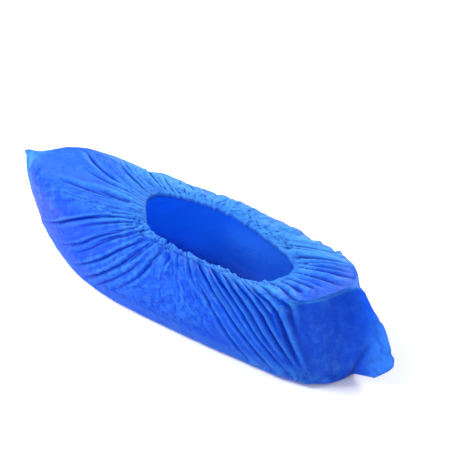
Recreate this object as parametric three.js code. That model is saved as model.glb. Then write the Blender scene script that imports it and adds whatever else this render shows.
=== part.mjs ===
// Disposable shoe cover of thin blue film, standing open as if a foot had just left it.
// Millimetres, +Z up. The toe points to -X, the heel to +X, and the sole lies on the plane z = 0.
// The origin is on the sole's underside, in the middle of its width.
import * as THREE from 'three';

// Sole and walls
const SOLE_LENGTH = 332;          // from the foot of the toe to the foot of the heel
const SOLE_WIDTH = 100;           // at the ball of the foot
const WALL_HEIGHT = 70;           // from the floor to the turned edge between side and top
const EDGE_ROUND = 13;            // softest bend between side and top
const SOLE_ROUND = 9;             // bend between side and sole
const WALL_BULGE = 2.5;           // how far the side stands out half way up
const TOP_CROWN = 1.5;            // how far the top film is puffed up
const FILM = 1.0;                 // wall of the bag

// Foot opening with its turned hem
const OPENING_LENGTH = 136;
const OPENING_WIDTH = 64;
const OPENING_FORWARD = 22;       // middle of the opening, from the origin towards the heel
const OPENING_DROP = 0.4;         // how far the opening's edge lies under the wall's height
const OPENING_RISE = 5.4;         // how much higher its toe end lies than its middle
const OPENING_SQUARE = 2.25;      // 2 is an ellipse, more is squarer
const ELASTIC_DIAMETER = 2.0;
const CLEARANCE = 0.3;            // between the elastic and the film round it

// Flat welded corners of the bag
const TOE_EAR = 14;               // how far the toe corner stands out
const HEEL_EAR = 35;              // how far the heel corner stands out
const EAR_THICKNESS = 1.8;        // two plies welded flat

// Gathers that the elastic draws up
const GATHER_COUNT = 40;
const GATHER_HEIGHT = 1.3;
const GATHER_START = 4.5;         // distance from the opening's edge where they begin
const GATHER_REACH = 30;          // distance from that edge where they have died out

const COLUMNS = 120;              // points round the opening
const ELASTIC_SIDES = 6;

// The bag's form, a row for each angle round the opening, from the toe (0) to the heel (180).
// X is a share of half the sole's length, Y of half its width, Z of the wall's height,
// and round is a share of the softest bend.
const FORM_COLUMNS = ['angle', 'edgeX', 'edgeY', 'edgeZ', 'soleX', 'soleY', 'round'];
const FORM = [
  [0, -1.07, 0, 1.01, -1.075, 0, 0.55],
  [15, -0.93, 0.5, 1.05, -0.96, 0.26, 0.8],
  [30, -0.73, 0.73, 1.02, -0.76, 0.6, 1],
  [45, -0.5, 0.87, 0.98, -0.54, 0.88, 1],
  [60, -0.24, 0.96, 1.01, -0.28, 1, 1],
  [75, 0.04, 1.0, 1.05, 0.06, 0.97, 1],
  [90, 0.26, 0.98, 1.06, 0.35, 0.91, 1],
  [105, 0.43, 0.94, 1.05, 0.54, 0.84, 0.9],
  [120, 0.57, 0.88, 1.03, 0.68, 0.79, 0.6],
  [135, 0.69, 0.79, 1.02, 0.79, 0.68, 0.35],
  [150, 0.79, 0.62, 1.02, 0.87, 0.52, 0.22],
  [165, 0.86, 0.34, 1.03, 0.915, 0.29, 0.2],
  [180, 0.88, 0, 1.03, 0.928, 0, 0.2],
];

// How far each welded corner stands out along the profile, as a share of its ear's length.
// Stations: 0 to 1 top film, 1 to 2 edge bend, 2 to 3 side, 3 to 4 bend to the sole.
const EAR_COLUMNS = ['station', 'toe', 'heel'];
const EARS = [
  [0.6, 0, 0],
  [1, 0.45, 0],
  [1.5, 1, 0.12],
  [2, 0.95, 0.34],
  [2.25, 0.88, 0.72],
  [2.5, 0.82, 0.97],
  [2.75, 0.55, 1],
  [3, 0.28, 0.62],
  [3.5, 0.08, 0.12],
  [4, 0, 0],
];
// Share of the ear's reach at each column beside the middle plane, and of how flat it is pinched.
const EAR_REACH = [1, 0.62, 0.26, 0.1, 0.03];
const EAR_PINCH = [1, 0.96, 0.6, 0.2, 0.05];
const WEB_COLUMNS = 2;            // columns each side of the middle whose inner faces run straight over

// Long folds charted from the photographed side: angle at the opening, half width in degrees,
// depth as a share of the film's gather height, stations where it starts and ends, and how many
// degrees it leans towards the heel by its end.
const FOLD_COLUMNS = ['angle', 'width', 'depth', 'from', 'to', 'lean'];
const FOLDS = [
  [14, 3.2, 1.5, 0.1, 2.4, -4],
  [27, 3, 1.2, 0.1, 1.6, -6],
  [38, 3, 1.3, 0.1, 2.2, -5],
  [50, 3, 1.1, 0.1, 2.4, -6],
  [84, 2.8, 1.6, 0.2, 3, 6],
  [93, 2.8, 1.7, 0.2, 3.1, 8],
  [102, 2.8, 1.7, 0.2, 3.1, 10],
  [112, 2.8, 1.5, 0.3, 3, 9],
  [122, 3, 1.3, 0.3, 2.8, 8],
  [196, 2.8, 0.8, 0.1, 1.1, 0],
  [242, 3, 1.4, 0.2, 3, -6],
  [258, 2.8, 1.6, 0.2, 3.1, -8],
  [272, 2.8, 1.5, 0.2, 3, -7],
  [318, 3, 1.2, 0.1, 2.4, 5],
  [334, 3.2, 1.3, 0.1, 2.2, 5],
  [348, 3, 1.4, 0.1, 1.8, 4],
];

const vec = (x, y, z) => new THREE.Vector3(x, y, z);
const radians = THREE.MathUtils.degToRad;
const clamp01 = (value) => THREE.MathUtils.clamp(value, 0, 1);
const ramp = (value, low, high) => THREE.MathUtils.smoothstep(value, low, high);

// Smooth curve through a table's rows. Past its first and last row it turns back as in a mirror,
// with the sign changed where the column is odd about the middle plane.
function readTable(columns, rows, name, at, mirrorSign = 1) {
  const column = columns.indexOf(name);
  const last = rows.length - 1;
  const row = (k) => {
    const inside = k < 0 ? -k : k > last ? 2 * last - k : k;
    const sign = inside === k ? 1 : mirrorSign;
    const edge = k < 0 ? rows[0][0] : rows[last][0];
    const where = inside === k ? rows[k][0] : 2 * edge - rows[inside][0];
    return { at: where, value: sign * rows[inside][column] };
  };
  let k = 0;
  while (k < last - 1 && at >= rows[k + 1][0]) k += 1;
  const [before, low, high, after] = [row(k - 1), row(k), row(k + 1), row(k + 2)];
  const span = high.at - low.at;
  const t = (at - low.at) / span;
  const slopeLow = ((high.value - before.value) / (high.at - before.at)) * span;
  const slopeHigh = ((after.value - low.value) / (after.at - low.at)) * span;
  return (2 * t ** 3 - 3 * t ** 2 + 1) * low.value + (t ** 3 - 2 * t ** 2 + t) * slopeLow
    + (3 * t ** 2 - 2 * t ** 3) * high.value + (t ** 3 - t ** 2) * slopeHigh;
}

// Point of the opening's edge at an angle, counted from the toe over the near side (-Y).
function openingPoint(angle) {
  const soften = (value) => Math.sign(value) * Math.abs(value) ** (2 / OPENING_SQUARE);
  const along = soften(Math.cos(radians(angle)));
  const across = soften(Math.sin(radians(angle)));
  const height = WALL_HEIGHT - OPENING_DROP + OPENING_RISE * along;
  return vec(OPENING_FORWARD - (OPENING_LENGTH / 2) * along, (-OPENING_WIDTH / 2) * across, height);
}

// Level direction away from the opening, square to its edge.
function openingOutward(angle) {
  const step = 1;
  const along = openingPoint(angle + step).sub(openingPoint(angle - step));
  return vec(-along.y, along.x, 0).negate().normalize();
}

// Corner points of the bag's profile at an angle: opening, turned edge and foot of the wall.
function profileCorners(angle) {
  const turn = angle > 180 ? 360 - angle : angle;
  const side = angle > 180 ? 1 : -1;
  const form = (name, sign) => readTable(FORM_COLUMNS, FORM, name, turn, sign);
  const halfLength = SOLE_LENGTH / 2;
  const halfWidth = SOLE_WIDTH / 2;
  return {
    opening: openingPoint(angle),
    edge: vec(halfLength * form('edgeX'), side * halfWidth * form('edgeY', -1), WALL_HEIGHT * form('edgeZ')),
    foot: vec(halfLength * form('soleX'), side * halfWidth * form('soleY', -1), 0),
    round: EDGE_ROUND * form('round'),
  };
}

const towards = (from, to, distance) => from.clone().addScaledVector(to.clone().sub(from).normalize(), distance);
const bend = (a, corner, b, t) => a.clone().multiplyScalar((1 - t) ** 2)
  .addScaledVector(corner, 2 * t * (1 - t)).addScaledVector(b, t ** 2);

// Smooth form without folds: point at an angle and a station of the profile (see EARS).
function formPoint(angle, station) {
  const { opening, edge, foot, round } = profileCorners(angle);
  const topRound = Math.min(round, opening.distanceTo(edge) * 0.6);
  const topEnd = towards(edge, opening, topRound);
  const wallStart = towards(edge, foot, round);
  const wallEnd = towards(foot, edge, SOLE_ROUND);
  const soleStart = vec(foot.x, foot.y - Math.sign(foot.y) * Math.min(SOLE_ROUND, 0.6 * Math.abs(foot.y)), 0);
  if (station < 1) {
    const point = opening.clone().lerp(topEnd, station);
    point.z += TOP_CROWN * 4 * station * (1 - station);
    return point;
  }
  if (station < 2) return bend(topEnd, edge, wallStart, station - 1);
  if (station < 3) {
    const t = station - 2;
    const outward = vec(0.15 * foot.x, foot.y, 0).normalize();
    return wallStart.clone().lerp(wallEnd, t).addScaledVector(outward, WALL_BULGE * 4 * t * (1 - t));
  }
  return bend(wallEnd, foot, soleStart, station - 3);
}

// Height of the gathers and depth of the charted folds at a point of the form.
function relief(angle, station, fromOpening) {
  const grow = ramp(fromOpening, GATHER_START, 2 * GATHER_START);
  const fade = 1 - ramp(fromOpening, GATHER_REACH / 2, GATHER_REACH);
  const wave = 0.5 + 0.5 * Math.cos(radians(angle * GATHER_COUNT));
  let height = GATHER_HEIGHT * grow * fade * wave;
  for (const row of FOLDS) {
    const fold = Object.fromEntries(FOLD_COLUMNS.map((name, k) => [name, row[k]]));
    const along = clamp01((station - fold.from) / (fold.to - fold.from));
    const away = (angle - fold.angle - fold.lean * along) / fold.width;
    const window = ramp(along, 0, 0.2) * (1 - ramp(along, 0.6, 1));
    height -= GATHER_HEIGHT * fold.depth * grow * window * Math.exp(-(away ** 2));
  }
  return height;
}

const STATIONS = [0.06, 0.2, 0.36, 0.52, 0.68, 0.84, 1, 1.5, 2, 2.25, 2.5, 2.75, 3, 3.5, 4];
const ANGLES = Array.from({ length: COLUMNS }, (_, k) => ((k + 0.5) * 360) / COLUMNS);
const wrap = (k) => (k + COLUMNS) % COLUMNS;
// Columns between this one and the toe's or the heel's middle plane, whichever is nearer.
const fromToe = (k) => Math.min(k, COLUMNS - 1 - k);
const fromHeel = (k) => Math.abs(k + 0.5 - COLUMNS / 2) - 0.5;

function gridNormal(grid, row, column) {
  const along = grid[row][wrap(column + 1)].clone().sub(grid[row][wrap(column - 1)]);
  const down = grid[Math.min(row + 1, grid.length - 1)][column].clone()
    .sub(grid[Math.max(row - 1, 0)][column]);
  return down.cross(along).normalize();
}

// Welded corners: the columns nearest the middle plane reach out and lie flat against each other.
function pinchEars(point, station, column) {
  const ends = [
    { name: 'toe', reach: TOE_EAR, outward: -1, near: fromToe(column) },
    { name: 'heel', reach: HEEL_EAR, outward: 1, near: fromHeel(column) },
  ];
  for (const end of ends) {
    if (end.near >= EAR_REACH.length) continue;
    const inRange = station >= EARS[0][0];
    const share = inRange ? Math.max(0, readTable(EAR_COLUMNS, EARS, end.name, station)) : 0;
    const pinch = EAR_PINCH[end.near] * Math.min(1, 3 * share);
    point.x += end.outward * end.reach * share * EAR_REACH[end.near];
    const flat = (Math.sign(point.y) * EAR_THICKNESS) / 2;
    point.y += (flat - point.y) * pinch;
  }
  return point;
}

// Outer face of the bag, from just outside the hem to the sole, with its folds.
function outerFace() {
  const smooth = STATIONS.map((station) => ANGLES.map((angle) => formPoint(angle, station)));
  return smooth.map((ring, row) => ring.map((point, column) => {
    const station = STATIONS[row];
    const fromOpening = point.distanceTo(openingPoint(ANGLES[column]));
    const nearEar = Math.min(fromToe(column), fromHeel(column)) <= WEB_COLUMNS && station >= 1;
    const height = station > 3 || nearEar ? 0 : relief(ANGLES[column], station, fromOpening);
    const lifted = point.clone().addScaledVector(gridNormal(smooth, row, column), height);
    return pinchEars(lifted, station, column);
  }));
}

// Inner face, one wall thickness inside. Next to the middle plane it runs straight over at the
// toe and the heel, because the welded corners are solid there.
function innerFace(outer) {
  const inner = outer.map((ring, row) => ring.map((point, column) => {
    const normal = gridNormal(outer, row, column);
    const leanest = Math.min(1, ...[-1, 1].map((side) => {
      const edge = outer[row][wrap(column + side)].clone().sub(point);
      const down = (outer[row + 1] ?? outer[row])[column].clone().sub((outer[row + 1] ? point : outer[row - 1][column]));
      const face = down.cross(edge).multiplyScalar(side).normalize();
      return Math.abs(face.dot(normal));
    }));
    const inside = point.clone().addScaledVector(normal, -FILM / Math.max(0.6, leanest));
    if (row === outer.length - 1) inside.set(point.x, point.y, FILM);
    return inside;
  }));
  for (const middle of [-0.5, COLUMNS / 2 - 0.5]) {
    inner.forEach((ring, row) => {
      const web = ramp(STATIONS[row], 0.3, 1);
      const left = ring[wrap(middle - 0.5 - WEB_COLUMNS)];
      const right = ring[wrap(middle + 0.5 + WEB_COLUMNS)];
      const steps = 2 * WEB_COLUMNS + 1;
      for (let k = 1; k < steps; k += 1) {
        const column = wrap(middle - 0.5 - WEB_COLUMNS + k);
        ring[column].lerp(left.clone().lerp(right, k / steps), web);
      }
    });
  }
  return inner;
}

// Turned hem: the film's edge is folded inwards and down round the elastic and ends beside it.
function hemRings() {
  const channel = ELASTIC_DIAMETER + 2 * CLEARANCE;
  const bottom = -(2 * FILM + channel);
  const reach = FILM + CLEARANCE + ELASTIC_DIAMETER;
  const outerProfile = [[reach, bottom], [0.6 * FILM, bottom], [0, bottom + 0.6 * FILM], [0, -0.6 * FILM], [0.6 * FILM, 0]];
  const innerProfile = [[reach, bottom + FILM], [1.3 * FILM, bottom + FILM], [FILM, bottom + 1.3 * FILM],
    [FILM, -1.3 * FILM], [1.3 * FILM, -FILM]];
  const ring = ([outwards, up]) => ANGLES.map((angle) => openingPoint(angle)
    .addScaledVector(openingOutward(angle), outwards).add(vec(0, 0, up)));
  return { outer: outerProfile.map(ring), inner: innerProfile.map(ring) };
}

// Closed mesh from rings of points. Each side runs from the hem's free edge to the sole, and the
// sole is closed by strips from the near side to the far side.
function bagGeometry(outerRings, innerRings) {
  const positions = [];
  const indices = [];
  const addRings = (rings) => rings.map((ring) => ring.map((point) => positions.push(...point) / 3 - 1));
  const quad = (a, b, c, d, flip) => {
    const corners = flip ? [a, c, b, a, d, c] : [a, b, c, a, c, d];
    indices.push(...corners);
  };
  const skin = (rings, flip) => {
    for (let row = 0; row < rings.length - 1; row += 1) {
      for (let k = 0; k < COLUMNS; k += 1) {
        quad(rings[row][k], rings[row + 1][k], rings[row + 1][wrap(k + 1)], rings[row][wrap(k + 1)], flip);
      }
    }
    const foot = rings[rings.length - 1];
    for (let k = 0; k < COLUMNS / 2 - 1; k += 1) {
      quad(foot[k], foot[COLUMNS - 1 - k], foot[COLUMNS - 2 - k], foot[k + 1], flip);
    }
  };
  const outer = addRings(outerRings);
  const inner = addRings(innerRings);
  skin(outer, false);
  skin(inner, true);
  for (let k = 0; k < COLUMNS; k += 1) quad(inner[0][k], outer[0][k], outer[0][wrap(k + 1)], inner[0][wrap(k + 1)]);
  const geometry = new THREE.BufferGeometry();
  geometry.setAttribute('position', new THREE.Float32BufferAttribute(positions, 3));
  geometry.setIndex(indices);
  geometry.computeVertexNormals();
  return geometry;
}

function filmBag() {
  const hem = hemRings();
  const outer = outerFace();
  const inner = innerFace(outer);
  const film = new THREE.MeshStandardMaterial({ color: 0x2a66f4, roughness: 0.42, metalness: 0, side: THREE.DoubleSide });
  const mesh = new THREE.Mesh(bagGeometry([...hem.outer, ...outer], [...hem.inner, ...inner]), film);
  mesh.name = 'film_bag';
  return mesh;
}

// Elastic thread: a ring of round section that lies in the hem, all round the opening.
function elasticThread() {
  const away = FILM + CLEARANCE + ELASTIC_DIAMETER / 2;
  const positions = [];
  const indices = [];
  ANGLES.forEach((angle, k) => {
    const outward = openingOutward(angle);
    const centre = openingPoint(angle).addScaledVector(outward, away).add(vec(0, 0, -away));
    for (let side = 0; side < ELASTIC_SIDES; side += 1) {
      const turn = (side / ELASTIC_SIDES) * 2 * Math.PI;
      const point = centre.clone().addScaledVector(outward, (ELASTIC_DIAMETER / 2) * Math.cos(turn));
      point.z += (ELASTIC_DIAMETER / 2) * Math.sin(turn);
      positions.push(...point);
      const next = (side + 1) % ELASTIC_SIDES;
      const here = k * ELASTIC_SIDES;
      const there = wrap(k + 1) * ELASTIC_SIDES;
      indices.push(here + side, there + side, there + next, here + side, there + next, here + next);
    }
  });
  const geometry = new THREE.BufferGeometry();
  geometry.setAttribute('position', new THREE.Float32BufferAttribute(positions, 3));
  geometry.setIndex(indices);
  geometry.computeVertexNormals();
  const rubber = new THREE.MeshStandardMaterial({ color: 0xe9ecf2, roughness: 0.8, metalness: 0 });
  const mesh = new THREE.Mesh(geometry, rubber);
  mesh.name = 'elastic_thread';
  return mesh;
}

const shoeCover = new THREE.Group();
shoeCover.name = 'shoe_cover';
shoeCover.add(filmBag(), elasticThread());

export default shoeCover;
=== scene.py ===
import bmesh
import bpy
import numpy as np
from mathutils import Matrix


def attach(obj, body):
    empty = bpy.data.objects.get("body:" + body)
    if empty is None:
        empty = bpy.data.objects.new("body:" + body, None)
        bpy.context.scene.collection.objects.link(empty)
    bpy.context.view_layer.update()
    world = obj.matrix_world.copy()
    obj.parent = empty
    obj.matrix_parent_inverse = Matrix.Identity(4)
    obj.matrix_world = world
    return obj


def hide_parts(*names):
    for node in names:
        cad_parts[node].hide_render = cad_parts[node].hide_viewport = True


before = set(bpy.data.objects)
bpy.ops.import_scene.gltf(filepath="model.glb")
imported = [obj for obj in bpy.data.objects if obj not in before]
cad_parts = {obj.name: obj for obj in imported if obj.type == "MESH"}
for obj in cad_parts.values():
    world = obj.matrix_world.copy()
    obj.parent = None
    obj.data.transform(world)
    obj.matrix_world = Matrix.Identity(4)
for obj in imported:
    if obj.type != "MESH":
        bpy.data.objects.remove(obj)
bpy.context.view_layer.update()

# Film bag: one sheet of thin blue polyethylene, folded along the bottom and welded at both ends.
# The elastic in its hem draws the top together, so the film lies in gathers round the opening.
# It is a grid round the opening (angle) and along the profile (station), which folds move along its
# normals.
MM = 0.001
SOLE_LENGTH = 332 * MM
SOLE_WIDTH = 100 * MM
WALL_HEIGHT = 70 * MM
EDGE_ROUND = 13 * MM
SOLE_ROUND = 9 * MM
WALL_BULGE = 2.5 * MM
TOP_CROWN = 1.5 * MM
HEEL_TWIST = 0.08
OPENING_LENGTH = 136 * MM
OPENING_WIDTH = 64 * MM
OPENING_FORWARD = 22 * MM
OPENING_DROP = 0.4 * MM
OPENING_RISE = 5.4 * MM
OPENING_SQUARE = 2.25

# Form by angle, from the toe (0) over the near side to the heel (180): the turned edge's x and y in half
# lengths and half widths of the sole and its z in wall heights, the same x and y of the wall's foot, and
# the roundness of the edge as a share of EDGE_ROUND
FORM = np.array([
    (0, -1.07, 0, 1.01, -1.075, 0, 0.7),
    (15, -0.94, 0.51, 1.07, -0.96, 0.26, 1.3),
    (30, -0.74, 0.75, 1.05, -0.76, 0.6, 1.8),
    (45, -0.5, 0.89, 1.01, -0.54, 0.88, 1.9),
    (60, -0.24, 0.98, 1.04, -0.28, 1, 1.9),
    (75, 0.04, 1.02, 1.08, 0.06, 0.97, 1.9),
    (90, 0.26, 1.0, 1.09, 0.35, 0.91, 1.9),
    (105, 0.43, 0.96, 1.08, 0.54, 0.84, 1.7),
    (120, 0.57, 0.89, 1.05, 0.68, 0.79, 1.2),
    (135, 0.7, 0.79, 1.063, 0.79, 0.68, 0.5),
    (150, 0.785, 0.61, 1.075, 0.87, 0.52, 0.22),
    (165, 0.848, 0.33, 1.105, 0.915, 0.29, 0.18),
    (180, 0.87, 0, 1.11, 0.928, 0, 0.18),
])


def ramp(value, low, high):
    """Smooth step: 0 below low, 1 above high."""
    t = np.clip((value - low) / (high - low), 0, 1)
    return t * t * (3 - 2 * t)


def read_table(rows, column, at, mirror_sign=1):
    """Cubic curve through a table's rows, with slopes from the neighbouring rows, mirrored past both
    ends."""
    where, value = rows[:, 0], rows[:, column]
    where = np.concatenate([2 * where[0] - where[2:0:-1], where, 2 * where[-1] - where[-2:-4:-1]])
    value = np.concatenate([mirror_sign * value[2:0:-1], value, mirror_sign * value[-2:-4:-1]])
    k = np.clip(np.searchsorted(where, at, side="right") - 1, 1, len(where) - 3)
    span = where[k + 1] - where[k]
    t = (at - where[k]) / span
    slope_low = (value[k + 1] - value[k - 1]) / (where[k + 1] - where[k - 1]) * span
    slope_high = (value[k + 2] - value[k]) / (where[k + 2] - where[k]) * span
    return ((2 * t**3 - 3 * t**2 + 1) * value[k] + (t**3 - 2 * t**2 + t) * slope_low
            + (3 * t**2 - 2 * t**3) * value[k + 1] + (t**3 - t**2) * slope_high)


def unit(vectors):
    """Vectors divided by their lengths."""
    return vectors / np.maximum(np.linalg.norm(vectors, axis=-1, keepdims=True), 1e-9)


def turned(angle, middle):
    """Angle counted from a middle one, -180 to 180."""
    return (angle - middle + 180) % 360 - 180


# Unevenness of the opening: waves round it, each with how often it goes up and down and its cosine and
# sine share
OPENING_WAVES = ((1, 0.007, 0.002), (2, 0.024, -0.009), (3, -0.017, -0.019), (4, 0, -0.009),
                 (5, 0.02, -0.028))


def opening_point(angle):
    """Point of the opening's edge: a superellipse round the opening's middle, pulled uneven by the
    gathers, its toe end lifted."""
    turn = np.radians(angle)
    along, across = (np.sign(f) * np.abs(f) ** (2 / OPENING_SQUARE) for f in (np.cos(turn), np.sin(turn)))
    share = 0.985 + sum(a * np.cos(k * turn) + b * np.sin(k * turn) for k, a, b in OPENING_WAVES)
    along, across = along * share, across * share
    return np.stack([OPENING_FORWARD - OPENING_LENGTH / 2 * along, -OPENING_WIDTH / 2 * across,
                     WALL_HEIGHT - OPENING_DROP + OPENING_RISE * along], axis=-1)


def opening_outward(angle):
    """Level direction away from the opening: its tangent turned by a right angle."""
    tangent = opening_point(angle + 1) - opening_point(angle - 1)
    return unit(np.stack([tangent[..., 1], -tangent[..., 0], 0 * tangent[..., 0]], axis=-1))


def form_point(angle, station):
    """Smooth form. Station 0 to 1 is the top, 1 to 2 the bend to the side, 2 to 3 the side,
    3 to 4 the bend to the sole and 4 to 5 the sole, as straight lines and quadratic bends
    between the opening's edge, the turned edge and the foot of the wall at this angle. The heel's top
    is twisted: its far end stands further back and lower by three quarters of that."""
    turn = np.abs(turned(angle, 0))
    side = np.where(angle % 360 > 180, 1.0, -1.0)
    half_length, half_width = SOLE_LENGTH / 2, SOLE_WIDTH / 2
    opening = opening_point(angle)
    across = side * half_width * read_table(FORM, 2, turn, -1)
    twist = HEEL_TWIST * ramp(turn, 120, 150) * across
    edge = np.stack([half_length * read_table(FORM, 1, turn) + twist, across,
                     WALL_HEIGHT * read_table(FORM, 3, turn) - 0.75 * twist], axis=-1)
    foot = np.stack([half_length * read_table(FORM, 4, turn),
                     side * half_width * read_table(FORM, 5, turn, -1), 0 * turn], axis=-1)
    bend = (EDGE_ROUND * read_table(FORM, 6, turn))[..., None]
    top_bend = np.minimum(bend, 0.6 * np.linalg.norm(opening - edge, axis=-1, keepdims=True))
    top_end = edge + unit(opening - edge) * top_bend
    wall_start = edge + unit(foot - edge) * bend
    wall_end = foot + unit(edge - foot) * SOLE_ROUND
    inward = np.minimum(SOLE_ROUND, 0.6 * np.abs(foot[..., 1]))
    sole_start = foot - np.stack([0 * turn, np.sign(foot[..., 1]) * inward, 0 * turn], axis=-1)
    middle = foot * [1, 0, 0]
    outward = unit(foot * [0.15, 1, 0])
    t = [np.clip(station - k, 0, 1)[..., None] for k in range(5)]
    top = opening + (top_end - opening) * t[0] + TOP_CROWN * 4 * t[0] * (1 - t[0]) * [0, 0, 1]
    edge_bend = top_end * (1 - t[1])**2 + 2 * edge * t[1] * (1 - t[1]) + wall_start * t[1]**2
    wall = wall_start + (wall_end - wall_start) * t[2] + outward * WALL_BULGE * 4 * t[2] * (1 - t[2])
    sole_bend = wall_end * (1 - t[3])**2 + 2 * foot * t[3] * (1 - t[3]) + sole_start * t[3]**2
    sole = sole_start + (middle - sole_start) * t[4]
    s = station[..., None]
    return np.select([s < 1, s < 2, s < 3, s < 4], [top, edge_bend, wall, sole_bend], sole)


def grid_normals(points):
    """Outward normals of a grid closed round its first axis, by central differences."""
    along = np.roll(points, -1, axis=0) - np.roll(points, 1, axis=0)
    down = np.gradient(points, axis=1)
    return unit(np.cross(down, along))


# Welded corners: by station, the share of the corner's reach at the toe and at the heel
EARS = np.array([
    (0.6, 0, 0), (1, 0.45, 0.02), (1.5, 1, 0.14), (2, 0.95, 0.3), (2.25, 0.88, 0.6), (2.5, 0.82, 0.9),
    (2.75, 0.55, 1), (3, 0.28, 0.62), (3.5, 0.08, 0.12), (4, 0, 0),
])
TOE_EAR = 14 * MM
HEEL_EAR = 35 * MM
EAR_THICKNESS = 0.9 * MM

# Degrees towards the far side at which the heel's weld starts
HEEL_SHIFT = 8

# Fold lines: angle at the hem, turn on the top of the near and of the far side, turn on the side walls,
# in degrees; the far side's walls are the near side's mirrored
FLOW = np.array([
    (0, -18, -18, 0), (8, -10, -18, -5), (17, 0, -14, -11), (30, -1, -10, -21), (46, -2, -6, -33),
    (58, 0, -3, -31), (66, 0, -1, -27), (70, 0, 0, -21), (75, 0, 0, -17), (82, 0, 0, -6), (88, 0, 0, 13),
    (95, 0, -1, 25), (103, 0, -3, 26), (116, 0, -7, 20), (126, -1, -8, 13), (139, -4, -6, 5),
    (150, -8, -2, 0), (162, -11, -2, 0), (172, -10, -6, 0), (180, -8, -8, 0),
])

# Deep folds: line they follow, station where they start and end, width and depth in millimetres,
# and which side stands up beside the valley (-1 to 1)
FOLDS = np.array([
    (1.5, 0.04, 1.0, 1.5, 2.6, 0.4), (6, 0.03, 0.6, 1.3, 1.9, 0), (11, 0.02, 0.4, 1.0, 0.9, 0),
    (17, 0.02, 0.9, 4.5, 3.0, 0), (21, 0.02, 0.35, 1.2, 1.0, 0), (33, 0.02, 0.6, 1.2, 1.0, 0),
    (46, 0.1, 2.6, 1.5, 3.4, -0.8), (53, 0.1, 1.2, 1.2, 1.2, 0), (58, 0.2, 2.7, 1.7, 2.4, -0.3),
    (61.5, 0.7, 2.65, 1.2, 1.4, 0), (66.5, 0.5, 2.95, 1.7, 2.4, -0.2), (70, 0.4, 3.2, 2.2, 2.6, 0),
    (72.5, 1.6, 3.2, 1.4, 1.3, 0), (75, 0.4, 2.8, 1.8, 2.2, 0), (79, 0.6, 1.8, 1.4, 1.6, 0),
    (83, 0.3, 1.7, 1.4, 1.6, 0.3), (88, 0.3, 1.9, 1.5, 1.6, 0),
    (89.5, 1.7, 3.3, 1.6, 1.9, 0.4), (94.5, 0.85, 3.1, 2.0, 3.8, 0.8), (99, 1.0, 2.7, 1.5, 1.4, 0.2),
    (103.5, 0.8, 3.1, 2.2, 4.2, 0.8), (109.5, 0.9, 3.0, 1.8, 2.2, 0.3),
    (117, 0.75, 3.05, 2.1, 4.0, 0.8), (123, 0.5, 2.6, 1.6, 1.5, 0.2),
    (128, 0.75, 3.0, 2.0, 3.5, 0.7), (139, 0.25, 2.4, 1.6, 2.6, 0.6),
    (148, 0.05, 0.8, 1.3, 1.8, 0), (156, 0.05, 0.85, 1.3, 2.0, 0), (165, 0.05, 0.78, 1.4, 2.0, 0),
    (173.5, 0.05, 0.75, 1.4, 2.1, 0), (179, 0.05, 0.85, 1.3, 2.0, 0), (186.5, 0.05, 0.9, 1.4, 2.2, 0),
    (195, 0.05, 0.92, 1.4, 2.2, 0), (202.5, 0.05, 0.92, 1.3, 2.0, 0), (208, 0.05, 0.85, 1.2, 1.6, 0),
    (214.5, 0.05, 0.95, 1.3, 1.8, 0), (228, 1.5, 2.6, 1.4, 1.5, 0.2), (233, 1.3, 2.95, 1.9, 3.2, -0.5),
    (240, 1.5, 2.6, 1.2, 1.3, 0), (244.5, 1.2, 3.0, 2.1, 3.6, -0.5), (251, 1.4, 2.9, 1.4, 1.7, 0),
    (257, 1.3, 3.1, 2.1, 3.6, -0.5), (262.5, 1.6, 2.9, 1.4, 1.7, 0), (266.5, 1.4, 3.1, 1.8, 3.0, -0.4),
    (271, 1.7, 3.3, 1.4, 2.0, -0.3), (279, 1.3, 2.2, 1.4, 1.4, 0), (286, 1.4, 2.8, 1.5, 1.9, 0),
    (291, 1.3, 3.1, 1.9, 2.6, 0), (297, 1.2, 2.9, 1.4, 1.8, 0.2), (305, 0.9, 2.7, 1.5, 2.2, 0.3),
    (315, 0.7, 2.6, 1.4, 2.7, 0.6),
    (324, 0.1, 1.0, 1.3, 1.5, 0.5), (332, 0.08, 1.1, 1.5, 2.8, 0.5), (346, 0.1, 1.0, 1.4, 1.8, 0.5),
])

# Gathers at the hem, in three sets: how many, and their width, depth and length in millimetres
GATHERS = ((150, 0.65, 1.0, 11), (92, 0.95, 1.6, 24), (46, 1.5, 2.3, 56))

# Crumpled patches: angle, station, how far they reach either way, and how strong they are
PATCHES = ((33, 0.85, 8, 0.3, 1.1), (72, 2.05, 8, 0.4, 0.9), (82, 1.2, 10, 0.5, 1.6),
           (58, 2.35, 5, 0.3, 0.7), (80, 2.4, 12, 0.5, 0.8), (300, 1.9, 12, 0.5, 0.9),
           (322, 0.8, 9, 0.3, 0.8), (285, 0.6, 14, 0.5, 0.5))

COLUMNS = 800


def seam_angle(station):
    """Angle of the heel's weld: it starts at the far corner of the heel's top and comes to the middle."""
    return 180 + HEEL_SHIFT * (1 - ramp(station, 1.6, 2.9))


def fold_angle(line, station):
    """Angle that a fold line has reached at a station: the line's angle at the hem, plus its turn on the
    top, which fades again past the edge, plus its turn down the side, which fades out under the sole,
    plus the shift of the heel's weld for the lines beside it."""
    near = line % 360 <= 180
    fold = np.where(near, line % 360, 360 - line % 360)
    top = np.where(near, np.interp(fold, FLOW[:, 0], FLOW[:, 1]), np.interp(fold, FLOW[:, 0], FLOW[:, 2]))
    side = np.interp(fold, FLOW[:, 0], FLOW[:, 3])
    down = np.clip((station - 1.2) / 1.8, 0, 1)
    side = side * down ** np.where(side > 0, 2.0, 1.5) * np.where(near, 1, -1)
    at_heel = np.exp(-((line % 360 - 180) / 16) ** 2)
    shift = (seam_angle(station) - 180) * at_heel * ramp(station, 1.0, 1.5)
    return (line + top * np.minimum(station, 1) * (1 - ramp(station, 0.85, 1.7)) + shift
            + side * (1 - ramp(station, 3, 4.6)))


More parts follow.
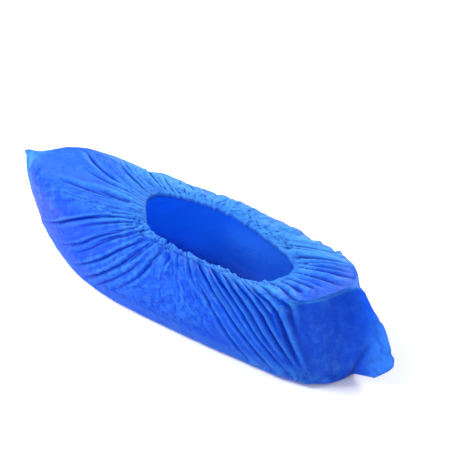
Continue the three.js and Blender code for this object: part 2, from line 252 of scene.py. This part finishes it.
def grid_lines():
    """Fold lines that carry the columns: spaced by the widest gap that they reach on their way, closer
    at the toe and the heel."""
    fine = np.linspace(0, 360, 3601)
    gaps = []
    for down in (0.02, 0.5, 1.0, 1.6, 2.2, 2.6, 3.0):
        station = np.full_like(fine, down)
        before = form_point(fold_angle(fine - 0.05, station), station)
        after = form_point(fold_angle(fine + 0.05, station), station)
        gaps.append(np.linalg.norm(after - before, axis=-1))
    density = np.max(gaps, axis=0)
    ends = sum(np.exp(-((fine - end) / 5.0) ** 2) for end in (0, 180, 360))
    density = density + 1.2 * density.mean() * ends
    density = (density + density[::-1]) / 2
    filled = np.concatenate([[0], np.cumsum((density[1:] + density[:-1]) / 2)])
    return np.interp((np.arange(COLUMNS) + 0.5) / COLUMNS * filled[-1], filled, fine)


def noise(seed, across, down, angle, station, last=5.0):
    """Smooth random field: a grid of random heights, round the opening and along the profile,
    blended by smooth steps; 0 to 1."""
    values = np.random.default_rng(seed).random((across, down + 2))
    a = angle / 360 * across
    s = np.clip(station / last, 0, 0.9999) * down
    i, j = np.floor(a).astype(int), np.floor(s).astype(int)
    u, v = ramp(a - i, 0, 1), ramp(s - j, 0, 1)
    left, right = i % across, (i + 1) % across
    return (values[left, j] * (1 - u) * (1 - v) + values[right, j] * u * (1 - v)
            + values[left, j + 1] * (1 - u) * v + values[right, j + 1] * u * v)


def creases(seed, across, down, angle, station):
    """Ridged noise: sharp lines where a smooth random field crosses its middle; 0 on a line to 1. Two
    more fields push the place that it is read from, so that the lines run every way."""
    push = (noise(seed + 50, across // 2, down // 2, angle, station) - 0.5) * 900 / across
    lift = (noise(seed + 60, across // 2, down // 2, angle, station) - 0.5) * 12 / down
    return np.minimum(1, np.abs(2 * noise(seed, across, down, angle + push, station + lift) - 1) * 2.2)


def valley(away, lean):
    """Section of a fold: a cusped valley with a raised lip on each side, the lean side higher."""
    lips = (1 + lean) * np.exp(-((away - 2.1) / 1.1) ** 2)
    lips += (1 - lean) * np.exp(-((away + 2.1) / 1.1) ** 2)
    return 0.33 * lips - np.exp(-np.abs(away))


def deep_folds(line, station, spread):
    """Height of the deep folds: valleys along the grid's lines that fade in and out."""
    height = np.zeros_like(line)
    for place, first, last, width, depth, lean in FOLDS:
        place = lines[np.argmin(np.abs(lines - place))]
        away = turned(line, place) * spread / (width * MM)
        along = (station - first) / (last - first)
        window = ramp(along, -0.1, 0.18) * (1 - ramp(along, 0.6, 1.08))
        height += window * depth * MM * valley(away, lean)
    return height


def gathers(line, spread, reach):
    """Height of the many small folds that start in the hem. Each has its own random place, width, depth
    and length, and grows wider as it runs out."""
    rng = np.random.default_rng(7)
    height = np.zeros_like(line)
    for count, width, depth, length in GATHERS:
        places = (np.arange(count) + rng.uniform(-0.45, 0.45, count)) * 360 / count
        sizes = rng.uniform(0.5, 1.4, (count, 4))
        leans = rng.uniform(-0.6, 0.6, count)
        for place, size, lean in zip(places, sizes, leans):
            place = lines[np.argmin(np.abs(lines - place % 360))]
            run = length * size[2] * MM
            wide = width * size[0] * MM * (0.75 + 0.9 * np.clip(reach / run, 0, 1))
            away = turned(line, place) * spread / wide
            height += depth * MM * (1 - ramp(reach, 0.25 * run, run)) * size[1] * valley(away, lean)
    return height


def rows_down(counts, power):
    """Stations of a face's rows: so many on each of the profile's five stretches, those of the top
    drawn towards the hem by a power."""
    top = np.linspace(0, 1, counts[0] + 1)[1:] ** power
    rest = [np.linspace(k, k + 1, counts[k] + 1)[1:] for k in range(1, 5)]
    return np.concatenate([top] + rest)


lines = grid_lines()
OUTER_STATIONS = rows_down((34, 10, 30, 5, 8), 1.5)
INNER_STATIONS = rows_down((8, 3, 6, 2, 2), 1.4)

# Behind an ear the inner face runs straight across, this many degrees each way, and it lies at least
# this high under the foot
WEB_REACH = 9
INNER_LIFT = 0.8 * MM


def pinch_ear(points, angle, station, column, reach, way, middle):
    """Pulls the film beside a weld out to its corner, presses it flat against the weld and waves it.
    column is the corner's in EARS, way is -1 at the toe and 1 at the heel, middle the weld's angle.
    Changes the points and returns how far each lies in a wrinkle, where painted shade goes."""
    turn = turned(angle, middle)
    away = np.abs(turn)
    share = read_table(EARS, column, np.clip(station, EARS[0, 0], EARS[-1, 0]))
    share = np.where((station >= EARS[0, 0]) & (station <= EARS[-1, 0]), np.clip(share, 0, 1.2), 0)
    out = share * np.clip(1 - away / 15, 0, 1) ** 2.4
    points[..., 0] += way * reach * out
    press = np.clip(1.25 - away / 8, 0, 1) * np.minimum(1, 3 * share)
    flat = form_point(middle, station)[..., 1] + np.sign(turn) * way * EAR_THICKNESS / 2
    points[..., 1] += (flat - points[..., 1]) * press
    wave = (np.sin(station * 3.1 + 260 * points[..., 0]) * 0.7
            + np.sin(station * 8 - 420 * points[..., 0]) * 0.3)
    crumple = (creases(19, 90, 40, angle * 3, station) - 0.5) * (way > 0)
    points[..., 1] += (1.5 * wave + 1.6 * crumple) * MM * press * ramp(out, 0.2, 0.8)
    return np.maximum(0, -1.4 * crumple * press) * ramp(out, 0.15, 0.5)


def pinch_ears(points, angle, station):
    """Makes both welded corners, and a crease at the root of the heel's, on its near side. Returns the
    points and how far each lies in that crease or in a wrinkle of the heel's corner, where painted shade
    goes."""
    points = points.copy()
    pinch_ear(points, angle, station, 1, TOE_EAR, -1, 0 * station)
    wrinkle_shade = pinch_ear(points, angle, station, 2, HEEL_EAR, 1, seam_angle(station))
    # The crease at the heel ear's root: the film is pressed in there, and painted shade goes along it
    root = np.exp(-((points[..., 0] - 154 * MM - 0.34 * points[..., 2]) / (1.5 * MM)) ** 2)
    root *= (1 - ramp(points[..., 2], 30 * MM, 42 * MM)) * (angle % 360 < seam_angle(station))
    points[..., 1] += 1.3 * MM * root
    return points, np.maximum(root, wrinkle_shade)


def crumpled(angle, station):
    """How crumpled the film is: a random field with soft steps, and the patches."""
    return ramp(noise(14, 16, 8, angle, station), 0.5, 0.75) + sum(
        share * np.exp(-((angle - turn) / wide) ** 2 - ((station - down) / deep) ** 2)
        for turn, down, wide, deep, share in PATCHES)


def calm_share(angle, line, station):
    """How much of the small gathers shows, 0 to 1: little on the far side's top, and less where the deep
    folds of the near side run."""
    far_top = (1 - ramp(np.abs(turned(angle, 270)), 35, 60)) * (1 - ramp(station, 1.5, 2.1))
    heel_wall = (1 - ramp(np.abs(line - 115), 20, 34)) * ramp(station, 0.7, 1.4)
    middle_wall = (1 - ramp(np.abs(line - 82), 10, 16)) * ramp(station, 0.4, 1.0)
    heel_folds = 1 - ramp(np.abs(line - 112), 20, 30)
    return (1 - 0.75 * far_top) * (1 - 0.7 * heel_wall) * (1 - 0.6 * middle_wall) * (1 - 0.6 * heel_folds)


def fine_crumples(angle, line, station, reach, loose, pitted):
    """Height of what only the outer face has: streaks along the gathers, crumples, pits near the hem, the
    soft band where the hem lies double, and the slight unevenness of the taut heel."""
    near_hem = 1 - ramp(reach, 8 * MM, 60 * MM)
    patch = np.minimum(crumpled(angle, station), 1.6)
    streaks = creases(11, 170, 9, line, station) * 0.35 * MM
    crumple = creases(12, 60, 34, line, station) * 0.55 * MM
    crumple += creases(15, 210, 70, angle, station) * 0.4 * MM
    height = loose * (streaks * (0.4 + near_hem) + crumple * (0.45 + 1.1 * patch))
    coarse = noise(31, 190, 52, line, reach / MM, 84.0)
    pits = coarse + 0.6 * noise(32, 90, 30, line, reach / MM, 84.0) - 0.8
    height += pits * 2.6 * MM * pitted
    band = 0.8 * np.exp(-((reach - 3.0 * MM) / (1.7 * MM)) ** 2)
    band -= 0.2 * np.exp(-((reach - 6.3 * MM) / (0.9 * MM)) ** 2)
    height += band * MM * (0.4 + 1.2 * noise(16, 130, 2, angle, station))
    return height + 0.7 * MM * (noise(17, 90, 3, angle, station) - 0.5) * (1 - loose)


def film_surface(stations, outer):
    """Film at these stations: the form, moved along its normals by folds, gathers and crumples.
    The inner face leaves the finest out and runs smooth along the lowest of the folds near it.
    Returns the points, how far each stands above its neighbours (-1 to 1), which is painted as shade in
    the valleys and as highlight on the ridges and is lowered for painted shade in the ears' crease and
    wrinkles, and the angles."""
    line, station = np.meshgrid(lines, stations, indexing="ij")
    angle = fold_angle(line, station)
    smooth = form_point(angle, station)
    normal = grid_normals(smooth)
    spread = np.linalg.norm(form_point(fold_angle(line + 0.25, station), station)
                            - form_point(fold_angle(line - 0.25, station), station), axis=-1) / 0.5
    reach = np.linalg.norm(smooth - opening_point(angle), axis=-1)
    loose = np.where(station > 1.3, ramp(np.abs(turned(angle, 172)), 27, 34), 1.0)
    rim = 1 - ramp(reach, 8 * MM, 19 * MM)
    height = ((1 - 0.8 * rim) * deep_folds(line, station, spread)
              + loose * calm_share(angle, line, station) * (1 - 0.3 * rim) * gathers(line, spread, reach))
    broad = (noise(13, 20, 9, line, station) - 0.5) * 2.4 * MM
    height += broad * ramp(reach, 10 * MM, 40 * MM) * (0.25 + 0.75 * loose)
    far_top = (1 - ramp(np.abs(angle - 262), 50, 80)) * (1 - ramp(station, 1.5, 2.1))
    lumps = (noise(33, 44, 9, angle, station) - 0.45) * 3.4 * MM
    height += lumps * far_top * ramp(reach, 3 * MM, 9 * MM)
    front = 0.7 * np.exp(-((angle - 77) / 13) ** 2) * (1 - ramp(reach, 20 * MM, 34 * MM))
    pitted = np.maximum(1 - ramp(reach, 9 * MM, 18 * MM), front)
    if outer:
        height += fine_crumples(angle, line, station, reach, loose, pitted)
    height *= ramp(reach, 0.5 * MM, 4 * MM) * (1 - ramp(station, 3.15, 3.9))
    away_seam = np.minimum(np.abs(turned(angle, 0)), np.abs(angle % 360 - seam_angle(station)))
    height *= np.where(station > 1.0, ramp(away_seam, 4, 11), 1)
    # How far each point stands above its neighbours: painted later as shade in the valleys and as
    # highlight on the ridges
    painted_shading = height - sum(np.roll(height, k, axis=0) for k in range(-5, 6)) / 11
    painted_shading = np.clip(np.where(painted_shading > 0, painted_shading / (0.8 * MM), painted_shading / (0.9 * MM)), -1, 1)
    if not outer:
        height = np.minimum.reduce([np.roll(height, k, axis=0) for k in range(-7, 8)])
        height = sum(np.roll(height, k, axis=0) for k in range(-7, 8)) / 15
        height -= 0.35 * MM + 0.7 * MM * ramp(reach, 4 * MM, 14 * MM)
        height -= 1.8 * MM * pitted * ramp(reach, 1.5 * MM, 4.5 * MM)
    points, crease_shade = pinch_ears(smooth + normal * height[..., None], angle, station)
    return points, np.clip(painted_shading - crease_shade, -1, 1), angle


def pucker(angle):
    """Ruffles of the hem: sums of waves 4 to 40 mm long with random sizes, outwards and upwards,
    stronger in some places than in others."""
    waves = np.random.default_rng(21)
    outwards, upwards = np.zeros_like(angle), np.zeros_like(angle)
    for _ in range(34):
        count, size, phase = waves.integers(9, 96), waves.uniform(0.3, 1), waves.uniform(0, 2 * np.pi, 2)
        share = size * (26 / (26 + count))
        outwards += share * np.cos(np.radians(angle) * count + phase[0])
        upwards += share * np.cos(np.radians(angle) * count + phase[1])
    place = 0.55 + 0.9 * noise(22, 14, 1, angle, 0 * angle)
    return outwards * place * 0.24 * MM, upwards * place * 0.26 * MM


# Section of the hem, in millimetres outwards and up from the opening's edge, from the film's free edge to
# the top: its outer face and its inner face, which is the one on the elastic's side
HOOK_OUTER = ((3.3, -4.6), (2.2, -5.0), (1.1, -4.9), (0.3, -4.2), (0.0, -3.0), (-0.1, -1.8), (0.1, -0.8),
              (0.9, 0.0))
HOOK_INNER = ((3.3, -4.3), (2.2, -4.6), (1.3, -4.5), (0.65, -4.0), (0.35, -3.0), (0.35, -1.9), (0.5, -1.1),
              (1.1, -0.4))


def hem_rings():
    """Hem: the film's edge turned inwards and down round the elastic, as a hook carried round the
    opening with its ruffles."""
    outward, edge = opening_outward(lines), opening_point(lines)
    push, lift = pucker(lines)
    rings = []
    for hook in (np.array(HOOK_OUTER) * MM, np.array(HOOK_INNER) * MM):
        across = outward[:, None, :] * (hook[None, :, :1] + push[:, None, None])
        up = (hook[None, :, 1:] + lift[:, None, None]) * [0, 0, 1]
        rings.append(edge[:, None, :] + across + up)
    return rings


def with_hem_ruffles(points, reach):
    """Carries the hem's ruffles on into the film's first millimetres, fading as a bell curve."""
    push, lift = pucker(lines)
    blend = np.exp(-(reach / (6 * MM)) ** 2)[..., None]
    return points + blend * (opening_outward(lines)[:, None, :] * push[:, None, None]
                             + lift[:, None, None] * np.array([0, 0, 1]))


def film_rows():
    """Rows of both faces, from the hem's free edge to the sole's middle line, with each outer row's
    station, how far it stands above its neighbours for painted shade and highlight, and angles."""
    faces = []
    for stations, outer in ((OUTER_STATIONS, True), (INNER_STATIONS, False)):
        points, painted_shading, angle = film_surface(stations, outer)
        reach = np.linalg.norm(points - opening_point(lines)[:, None, :], axis=-1)
        if not outer:
            half = int((np.abs((lines + 90) % 180 - 90) < WEB_REACH).sum() / 4)
            for middle in (0, COLUMNS // 2):
                web = [(middle + k) % COLUMNS for k in range(-half, half)]
                left, right = points[web[0] - 1], points[(web[-1] + 1) % COLUMNS]
                share = ((np.arange(len(web)) + 1) / (len(web) + 1))[:, None, None]
                weight = ramp(stations, 0.9, 1.7)[None, :, None]
                points[web] = points[web] * (1 - weight) + (left * (1 - share) + right * share) * weight
            raised = np.maximum(points[..., 2], INNER_LIFT)
            points[..., 2] = np.where(stations[None] > 3.6, raised, points[..., 2])
        clear = reach.min(axis=0) > 1.3 * MM
        ruffled = with_hem_ruffles(points, reach)
        faces.append((ruffled[:, clear], stations[clear], painted_shading[:, clear], angle[:, clear]))
    (outer_points, stations, painted_shading, angle), (inner_points, *_) = faces
    hem_outer, hem_inner = hem_rings()
    hem_count = hem_outer.shape[1]
    stations = np.concatenate([np.linspace(-1, -0.1, hem_count), stations])
    painted_shading = np.concatenate([np.zeros(hem_outer.shape[:2]), painted_shading], axis=1)
    angle = np.concatenate([np.repeat(lines[:, None], hem_count, axis=1), angle], axis=1)
    return (np.concatenate([hem_outer, outer_points], axis=1),
            np.concatenate([hem_inner, inner_points], axis=1), stations, painted_shading, angle)


def grid_faces(rows, start):
    """Quads of a grid closed round the opening, its points numbered from start, column by column."""
    k, r = np.meshgrid(np.arange(COLUMNS), np.arange(rows - 1), indexing="ij")
    here, beside = start + k * rows + r, start + (k + 1) % COLUMNS * rows + r
    return np.stack([here, here + 1, beside + 1, beside], axis=-1).reshape(-1, 4)


def shell_faces(rows_out, rows_in):
    """Quads of the outer face, of the inner face the other way round, and of the strip between their
    free edges."""
    start = COLUMNS * rows_out
    outer = grid_faces(rows_out, 0)
    inner = np.roll(grid_faces(rows_in, start)[:, ::-1], 1, axis=1)
    here, beside = np.arange(COLUMNS), (np.arange(COLUMNS) + 1) % COLUMNS
    strip = [start + here * rows_in, here * rows_out, beside * rows_out, start + beside * rows_in]
    return np.concatenate([outer, inner, np.stack(strip, axis=-1)])


def painted_light_share(points, angle, station):
    """How much painted light the film gets, 0 to 1: the two plies at the ears and the hem, with painted
    light shining through them, painted light on the thin lit film of the top, most of all on the far side,
    a painted highlight along the sharp edge behind the heel's top, painted light at the foot of the near
    wall, and painted glints in crumpled patches."""
    x, y, z = points[..., 0], points[..., 1], points[..., 2]
    top = 1 - ramp(station, 0.9, 1.7)
    far_top = top * (1 - ramp(np.abs(turned(angle, 275)), 45, 80))
    front_top = top * ramp(-x, -20 * MM, 60 * MM)
    back_top = top * ramp(x, 60 * MM, 90 * MM)
    toe_ear = ramp(-x, 155 * MM, 173 * MM) * ramp(z, 22 * MM, 52 * MM)
    toe_ear *= 1 - 0.8 * ramp(np.abs(y), 5 * MM, 15 * MM)
    heel_ear = ramp(x, 158 * MM, 176 * MM)
    hem = 1 - ramp(station, 0.15, 0.6)
    near_rim = (1 - ramp(station, 0.5, 1.2)) * (1 - ramp(np.abs(angle - 100), 40, 65))
    edge = (1 - ramp(np.abs(station - 1.5), 0.1, 0.5)) * (1 - ramp(np.abs(turned(angle, 170)), 26, 32))
    foot = ramp(station, 2.75, 2.95) * (1 - ramp(np.abs(angle - 75), 65, 85))
    share = np.maximum.reduce([far_top, 0.26 * front_top, 0.1 * back_top, 0.7 * toe_ear, 0.5 * heel_ear,
                               0.54 * hem, 0.56 * near_rim, 0.4 * edge, 0.2 * foot])
    return share + 0.12 * np.clip(crumpled(angle, station) - 0.5, 0, 1)


outer_rows, inner_rows, row_stations, film_painted_shading, row_angles = film_rows()
skin_points = np.concatenate([outer_rows.reshape(-1, 3), inner_rows.reshape(-1, 3)])
skin_faces = shell_faces(outer_rows.shape[1], inner_rows.shape[1])
mesh = bpy.data.meshes.new("film_bag_skin")
mesh.from_pydata(skin_points.tolist(), [], skin_faces.tolist())
mesh.update()
film = bpy.data.objects.new("film_bag_skin", mesh)
bpy.context.collection.objects.link(film)

# What the material reads: the painted light on the film, how strongly its mottle and painted glints show,
# the
#  painted shade and highlight from how far a point stands above its neighbours, and for the inner face and
#  the hem's turned-in face a painted brighter colour and how much light passes through. The inner face is
#  painted
#  as if lit through the far wall: painted shade low down and towards the heel.
outer_stations = np.broadcast_to(row_stations, row_angles.shape)
inside_hem = 1 - ramp(outer_stations, -0.35, -0.1)
painted_light = painted_light_share(outer_rows, row_angles, outer_stations) * (1 - inside_hem)
# How strongly the mottle shows in the colour: most in crumpled places and at the hem, where it stands for
# painted glints
glint_mottle_strength = crumpled(row_angles, outer_stations) + 0.8 * (1 - ramp(outer_stations, 0.15, 0.6))
# Painted light of the inner face: painted shade low down and towards the heel
inner_height, inner_along = inner_rows[..., 2], inner_rows[..., 0]
low_down = 1 - ramp(inner_height, 5 * MM, 50 * MM)
inner_painted_light = 1 - low_down * (0.4 + 0.6 * ramp(inner_along, -40 * MM, 20 * MM))
inner_painted_light *= 1 - 0.6 * ramp(inner_along, 0, 70 * MM)
none_inside = np.zeros_like(inner_painted_light)
for name, outer_value, inner_value in (("painted_light", painted_light, none_inside),
                                       ("crumple", np.clip(glint_mottle_strength, 0, 1.2), none_inside),
                                       ("painted_shading", film_painted_shading, inner_painted_light - 1),
                                       ("painted_inside_light_and_translucency", 0.6 * inside_hem, 0.1 + 0.9 * inner_painted_light ** 1.5)):
    attribute = mesh.attributes.new(name, "FLOAT", "POINT")
    filled = np.concatenate([outer_value.reshape(-1), inner_value.reshape(-1)])
    attribute.data.foreach_set("value", filled.astype(np.float32))

HEM_CIRCLE = 120 * MM
ALONG_FOLD = 0.2


def run_of_film(rows):
    """Position along the gathers: round the hem as a circle, and a share of the way run along the fold,
    so that a pattern read from it is drawn out along the folds."""
    run = np.linalg.norm(rows - rows[:, :1], axis=-1) * ALONG_FOLD
    turn = np.radians(np.broadcast_to(lines[:, None], run.shape))
    return np.stack([HEM_CIRCLE * np.cos(turn), HEM_CIRCLE * np.sin(turn), run], axis=-1).reshape(-1, 3)


run_attribute = mesh.attributes.new("run", "FLOAT_VECTOR", "POINT")
run_values = np.concatenate([run_of_film(outer_rows), run_of_film(inner_rows)])
run_attribute.data.foreach_set("vector", run_values.reshape(-1).astype(np.float32))
shell = bmesh.new()
shell.from_mesh(mesh)
bmesh.ops.remove_doubles(shell, verts=shell.verts, dist=1e-6)
bmesh.ops.dissolve_degenerate(shell, edges=shell.edges, dist=1e-7)
shell.to_mesh(mesh)
shell.free()
mesh.shade_smooth()


def mesh_value(tree, name, output="Fac"):
    """Socket that gives an attribute of the mesh."""
    node = tree.nodes.new("ShaderNodeAttribute")
    node.attribute_name = name
    return node.outputs[output]


def mapped(tree, value, start, end, low=0.0, high=1.0):
    """Socket that takes a value from low to high over to start to end, and no further."""
    node = tree.nodes.new("ShaderNodeMapRange")
    for socket, number in (("From Min", low), ("From Max", high), ("To Min", start), ("To Max", end)):
        node.inputs[socket].default_value = number
    tree.links.new(value, node.inputs["Value"])
    return node.outputs["Result"]


def worked_out(tree, operation, first, second, clamped=False):
    """Socket that adds or multiplies two values."""
    node = tree.nodes.new("ShaderNodeMath")
    node.operation = operation
    node.use_clamp = clamped
    tree.links.new(first, node.inputs[0])
    tree.links.new(second, node.inputs[1])
    return node.outputs[0]


def colour_between(tree, share, first, second):
    """Socket that mixes a first colour, given or from a socket, with a second by a share."""
    node = tree.nodes.new("ShaderNodeMix")
    node.data_type = "RGBA"
    node.inputs["B"].default_value = second
    if isinstance(first, tuple):
        node.inputs["A"].default_value = first
    else:
        tree.links.new(first, node.inputs["A"])
    tree.links.new(share, node.inputs["Factor"])
    return node.outputs["Result"]


def noise_pattern(tree, place, scale, detail, roughness=0.5, distortion=0.0):
    """Socket of a noise texture read at a place."""
    node = tree.nodes.new("ShaderNodeTexNoise")
    for socket, number in (("Scale", scale), ("Detail", detail), ("Roughness", roughness),
                           ("Distortion", distortion)):
        node.inputs[socket].default_value = number
    tree.links.new(place, node.inputs["Vector"])
    return node.outputs["Fac"]


def film_material():
    """Blue polyethylene film: a saturated base, lighter where plies lie double with painted light through
    them and where painted light and highlights fall, darker with painted shade down in a crease, a painted
    brighter inner face, mottle with painted glints, satin gloss, fine embossing as bump, and some light
    that passes through the film."""
    material = bpy.data.materials.new("blue_film")
    material.use_nodes = True
    tree = material.node_tree
    shader = tree.nodes["Principled BSDF"]
    shader.inputs["IOR"].default_value = 1.5
    shader.inputs["Specular IOR Level"].default_value = 0.14
    place = tree.nodes.new("ShaderNodeTexCoord").outputs["Object"]
    painted_shading, painted_inside_light_and_translucency = mesh_value(tree, "painted_shading"), mesh_value(tree, "painted_inside_light_and_translucency")
    mottle = noise_pattern(tree, place, 150, 6, 0.68, 0.5)

    # Painted highlight on the ridges and the film's painted light lighten the colour
    lifted = worked_out(tree, "ADD", mapped(tree, painted_shading, 0, 0.36), mesh_value(tree, "painted_light"))
    # Mottle: tone that varies at random, stronger where the film is crumpled, where it stands for painted
    # glints
    mottle_and_glints = mapped(tree, mottle, -0.3, 0.36, 0.3, 0.75)
    mottle_and_glints = worked_out(tree, "MULTIPLY", mottle_and_glints, mapped(tree, mesh_value(tree, "crumple"), 0.5, 1.2))
    painted_light_and_mottle = worked_out(tree, "ADD", lifted, mottle_and_glints, clamped=True)
    colour = colour_between(tree, painted_light_and_mottle, (0.002, 0.088, 0.74, 1), (0.08, 0.42, 0.98, 1))
    # Painted shade: a darker deep blue down in the valleys and creases, and low on the inner face
    colour = colour_between(tree, mapped(tree, painted_shading, 0.8, 0, -1, 0), colour, (0.001, 0.02, 0.28, 1))
    # Painted light on the inner face and the hem's turned-in face: a brighter cyan
    colour = colour_between(tree, painted_inside_light_and_translucency, colour, (0.14, 0.62, 1, 1))
    tree.links.new(colour, shader.inputs["Base Color"])
    tree.links.new(mapped(tree, mottle, 0.3, 0.48), shader.inputs["Roughness"])

    emboss = tree.nodes.new("ShaderNodeTexVoronoi")
    emboss.inputs["Scale"].default_value = 900
    tree.links.new(place, emboss.inputs["Vector"])
    streak = noise_pattern(tree, mesh_value(tree, "run", "Vector"), 320, 3)
    crumple = noise_pattern(tree, place, 120, 7, 0.66, 0.6)
    normal = None
    for height, strength, distance in ((emboss.outputs["Distance"], 0.25, 0.0005), (streak, 0.5, 0.0014),
                                       (crumple, 0.65, 0.004)):
        bump = tree.nodes.new("ShaderNodeBump")
        bump.inputs["Strength"].default_value = strength
        bump.inputs["Distance"].default_value = distance
        tree.links.new(height, bump.inputs["Height"])
        if normal:
            tree.links.new(normal, bump.inputs["Normal"])
        normal = bump.outputs["Normal"]
    tree.links.new(normal, shader.inputs["Normal"])

    through = tree.nodes.new("ShaderNodeBsdfTranslucent")
    through.inputs["Color"].default_value = (0.05, 0.36, 0.99, 1)
    mixed = tree.nodes.new("ShaderNodeMixShader")
    tree.links.new(mapped(tree, painted_inside_light_and_translucency, 0.34, 0.75), mixed.inputs["Fac"])
    tree.links.new(shader.outputs["BSDF"], mixed.inputs[1])
    tree.links.new(through.outputs["BSDF"], mixed.inputs[2])
    tree.links.new(mixed.outputs["Shader"], tree.nodes["Material Output"].inputs["Surface"])
    return material


mesh.materials.append(film_material())
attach(film, "root")
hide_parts("film_bag")

# Elastic thread: a thin covered rubber thread that lies loose in the hem, all round the opening.
# It is a tube of round section, a little thinner than its channel, with the twist of its covering.
ELASTIC_AWAY = 2.3 * MM
ELASTIC_RADIUS = 0.65 * MM
ELASTIC_STEPS = 300
ELASTIC_SIDES = 10


def elastic_mesh():
    """Ring: a circle of points carried round the opening's edge, a fixed way outside and below it."""
    turn = np.arange(ELASTIC_STEPS) * 360 / ELASTIC_STEPS
    around = (np.arange(ELASTIC_SIDES) * 2 * np.pi / ELASTIC_SIDES)[None, :, None]
    outward = opening_outward(turn)[:, None]
    centre = opening_point(turn)[:, None] + ELASTIC_AWAY * (outward - [0, 0, 1])
    ring = centre + ELASTIC_RADIUS * (np.cos(around) * outward + np.sin(around) * np.array([0, 0, 1]))
    step, side = np.meshgrid(np.arange(ELASTIC_STEPS), np.arange(ELASTIC_SIDES), indexing="ij")
    here, ahead = step * ELASTIC_SIDES, (step + 1) % ELASTIC_STEPS * ELASTIC_SIDES
    beside = (side + 1) % ELASTIC_SIDES
    quads = np.stack([here + side, ahead + side, ahead + beside, here + beside], axis=-1).reshape(-1, 4)
    data = bpy.data.meshes.new("elastic_core")
    data.from_pydata(ring.reshape(-1, 3).tolist(), [], quads.tolist())
    data.shade_smooth()
    return data


elastic = bpy.data.objects.new("elastic_core", elastic_mesh())
bpy.context.collection.objects.link(elastic)
rubber = bpy.data.materials.new("elastic")
rubber.use_nodes = True
rubber_tree = rubber.node_tree
rubber_shader = rubber_tree.nodes["Principled BSDF"]
rubber_shader.inputs["Roughness"].default_value = 0.8
rubber_place = rubber_tree.nodes.new("ShaderNodeTexCoord")
twist = rubber_tree.nodes.new("ShaderNodeTexWave")
twist.inputs["Scale"].default_value = 500
rubber_tree.links.new(rubber_place.outputs["Object"], twist.inputs["Vector"])
grey, white_thread = (0.55, 0.6, 0.7, 1), (0.8, 0.83, 0.88, 1)
rubber_colour = colour_between(rubber_tree, twist.outputs["Fac"], grey, white_thread)
rubber_tree.links.new(rubber_colour, rubber_shader.inputs["Base Color"])
elastic.data.materials.append(rubber)
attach(elastic, "root")
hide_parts("elastic_thread")

# Floor: a plain matt white sheet, far larger than the view. It lies just below the cover's sole, so that
# the two faces don't share a plane.
FLOOR_REACH = 6.0
FLOOR_DROP = 0.3 * MM
floor_corners = [(-FLOOR_REACH, -FLOOR_REACH, -FLOOR_DROP), (FLOOR_REACH, -FLOOR_REACH, -FLOOR_DROP),
                 (FLOOR_REACH, FLOOR_REACH, -FLOOR_DROP), (-FLOOR_REACH, FLOOR_REACH, -FLOOR_DROP)]
floor_mesh = bpy.data.meshes.new("floor")
floor_mesh.from_pydata(floor_corners, [], [(0, 1, 2, 3)])
floor = bpy.data.objects.new("floor", floor_mesh)
bpy.context.collection.objects.link(floor)
white = bpy.data.materials.new("white_floor")
white.use_nodes = True
white_shader = white.node_tree.nodes["Principled BSDF"]
white_shader.inputs["Base Color"].default_value = (0.98, 0.98, 0.98, 1)
white_shader.inputs["Roughness"].default_value = 0.9
floor_mesh.materials.append(white)

# Light: an even pale room, a soft light high on the toe side, a wide one behind that shines through the
# film, and a weak one in front.
scene = bpy.context.scene
world = bpy.data.worlds.new("room")
scene.world = world
world.use_nodes = True
room_light = world.node_tree.nodes["Background"]
room_light.inputs["Color"].default_value = (1, 1, 1, 1)
room_light.inputs["Strength"].default_value = 0.78


def soft_light(name, place, target, size, power):
    """Square area light that looks at a point."""
    data = bpy.data.lights.new(name, "AREA")
    data.size = size
    data.energy = power
    lamp = bpy.data.objects.new(name, data)
    lamp.location = place
    aim = np.array(target) - np.array(place)
    level = np.hypot(aim[0], aim[1])
    lamp.rotation_euler = (np.arctan2(level, -aim[2]), 0, np.arctan2(-aim[0], aim[1]))
    bpy.context.collection.objects.link(lamp)


soft_light("key", (-0.85, -0.7, 1.05), (0, 0, 0.03), 0.5, 21)
soft_light("fill", (-0.4, -1.5, 0.4), (0, 0, 0.03), 1.0, 3)
soft_light("back", (-0.3, 1.3, 0.6), (0, 0, 0.05), 0.8, 20)

# Camera: a long lens that looks down on the cover from its near side and its heel, at the photograph's
# angle.
CAMERA_TARGET = np.array([0.0, 0.0465, 0.040])
CAMERA_DISTANCE = 0.900
azimuth, elevation = np.radians([38.0, 36.0])
camera_data = bpy.data.cameras.new("camera")
camera_data.lens = 85
camera_data.sensor_width = 36
camera = bpy.data.objects.new("camera", camera_data)
level = np.array([np.sin(azimuth), -np.cos(azimuth), 0]) * np.cos(elevation)
camera.location = CAMERA_TARGET + CAMERA_DISTANCE * (level + [0, 0, np.sin(elevation)])
camera.rotation_euler = (np.pi / 2 - elevation, 0, azimuth)
bpy.context.collection.objects.link(camera)
scene.camera = camera
scene.view_settings.view_transform = "Standard"
